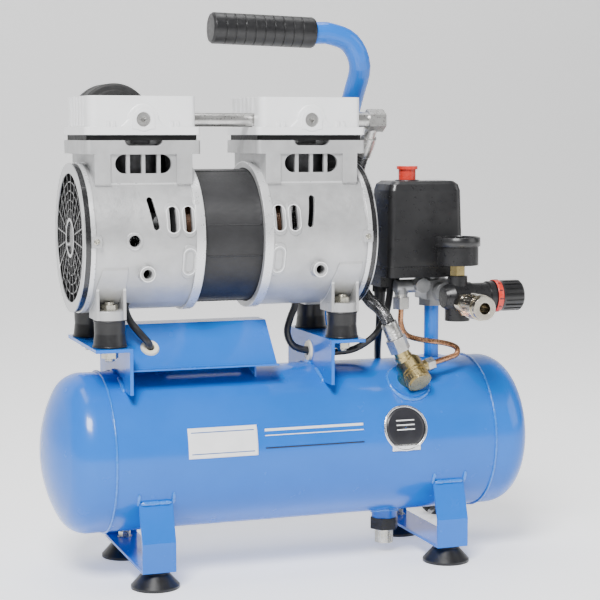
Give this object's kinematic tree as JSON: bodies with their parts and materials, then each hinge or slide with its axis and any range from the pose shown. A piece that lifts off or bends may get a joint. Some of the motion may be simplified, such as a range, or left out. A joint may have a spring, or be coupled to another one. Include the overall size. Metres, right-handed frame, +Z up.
{
  "type": "airbrush compressor",
  "caption": "Twin-cylinder oil-free airbrush compressor on a horizontal air tank, with pressure switch, regulator, gauge, quick coupler, drain and carrying handle.",
  "frame": {"origin": "middle of the bounding box's bottom, on the floor under the tank, cord left out", "axes": "+X along the tank towards the regulator, +Y away from the front, +Z up"},
  "size_m": [0.4909, 0.373, 0.5019],
  "materials": {
    "blue_paint": "gloss",
    "cast_alloy": "sand cast",
    "core_steel": "satin",
    "winding_copper": "drawn",
    "steel": "ground",
    "nickel": "bright",
    "hose_braid": "woven",
    "brass": "plated",
    "black_rubber": "moulded",
    "cream_rubber": "moulded",
    "black_plastic": "moulded",
    "black_metal": "satin",
    "red_plastic": "moulded",
    "clear_glass": "polished"
  },
  "bodies": {
    "frame": {"tank_shell": "blue_paint", "tank_ends": "blue_paint", "foot_strap_left": "blue_paint", "foot_strap_right": "blue_paint", "rubber_feet": "black_rubber", "foot_screws": "nickel", "motor_bracket_left": "blue_paint", "motor_bracket_right": "blue_paint", "grommets": "cream_rubber", "capacitor_cover": "blue_paint", "capacitor": "steel", "handle_tube": "blue_paint", "handle_grip": "black_rubber", "rubber_mounts": "black_rubber", "mount_screws": "nickel", "crankcase_left": "cast_alloy", "crankcase_right": "cast_alloy", "stator": "core_steel", "stator_windings": "winding_copper", "bearings": "steel", "fan_guards": "cast_alloy", "cylinder_sleeves": "cast_alloy", "valve_plates": "black_metal", "cylinder_head_left": "cast_alloy", "cylinder_head_right": "cast_alloy", "head_screws": "nickel", "head_plugs": "nickel", "transfer_tube": "nickel", "intake_filter": "black_plastic", "outlet_elbow": "nickel", "braided_hose": "hose_braid", "check_valve_body": "brass", "check_valve_cap": "brass", "copper_tube": "winding_copper", "tube_nuts": "nickel", "riser_pipe": "blue_paint", "manifold": "cast_alloy", "switch_base": "black_plastic", "switch_cover": "black_plastic", "cable_glands": "black_rubber", "regulator_body": "black_metal", "gauge_case": "black_metal", "gauge_glass": "clear_glass", "coupler_body": "brass", "drain_valve": "black_metal", "motor_cables": "black_rubber", "mains_lead": "black_rubber", "mains_coil": "black_rubber", "mains_plug": "black_rubber"},
    "shaft": {"motor_shaft": "steel", "rotor": "core_steel", "cooling_fans": "black_plastic"},
    "left_piston": {"piston_left": "cast_alloy"},
    "right_piston": {"piston_right": "cast_alloy"},
    "switch_button": {"switch_knob": "red_plastic"},
    "pressure_knob": {"regulator_knob": "black_plastic"},
    "needle": {"gauge_needle": "red_plastic"},
    "sleeve": {"coupler_sleeve": "nickel"},
    "drain": {"drain_screw": "nickel"},
    "poppet": {"check_valve_poppet": "black_rubber"}
  },
  "joints": [
    {"name": "shaft_spin", "type": "hinge", "parent": "frame", "child": "shaft", "pos_m": [-0.07, 0.009, 0.303], "axis": [1, 0, 0], "continuous": true},
    {"name": "left_rod_turn", "type": "hinge", "parent": "shaft", "child": "left_piston", "pos_m": [-0.1464, 0.009, 0.3085], "axis": [1, 0, 0], "continuous": true},
    {"name": "right_rod_turn", "type": "hinge", "parent": "shaft", "child": "right_piston", "pos_m": [0.0064, 0.009, 0.2975], "axis": [1, 0, 0], "continuous": true},
    {"name": "switch_press", "type": "slide", "parent": "frame", "child": "switch_button", "axis": [0, 0, -1], "range_m": [0, 0.006]},
    {"name": "pressure_turn", "type": "hinge", "parent": "frame", "child": "pressure_knob", "pos_m": [0.1425, -0.052, 0.2455], "axis": [1, 0, 0], "range_deg": [0, 900]},
    {"name": "needle_turn", "type": "hinge", "parent": "frame", "child": "needle", "pos_m": [0.1425, -0.052, 0.292], "axis": [0, 0, -1], "range_deg": [0, 270]},
    {"name": "sleeve_slide", "type": "slide", "parent": "frame", "child": "sleeve", "axis": [0, 1, 0], "range_m": [0, 0.005], "stiffness_N_per_m": 600, "springref_m": -0.004},
    {"name": "drain_turn", "type": "hinge", "parent": "frame", "child": "drain", "pos_m": [0.093, 0.001, 0.02], "axis": [0, 0, 1], "range_deg": [0, 540]},
    {"name": "poppet_slide", "type": "slide", "parent": "frame", "child": "poppet", "axis": [0.1601, -0.7663, -0.6222], "range_m": [0, 0.003], "stiffness_N_per_m": 300, "springref_m": -0.002}
  ],
  "couplings": [
    {"joint": "left_rod_turn", "follows": "shaft_spin", "ratio": -1},
    {"joint": "right_rod_turn", "follows": "shaft_spin", "ratio": -1}
  ]
}
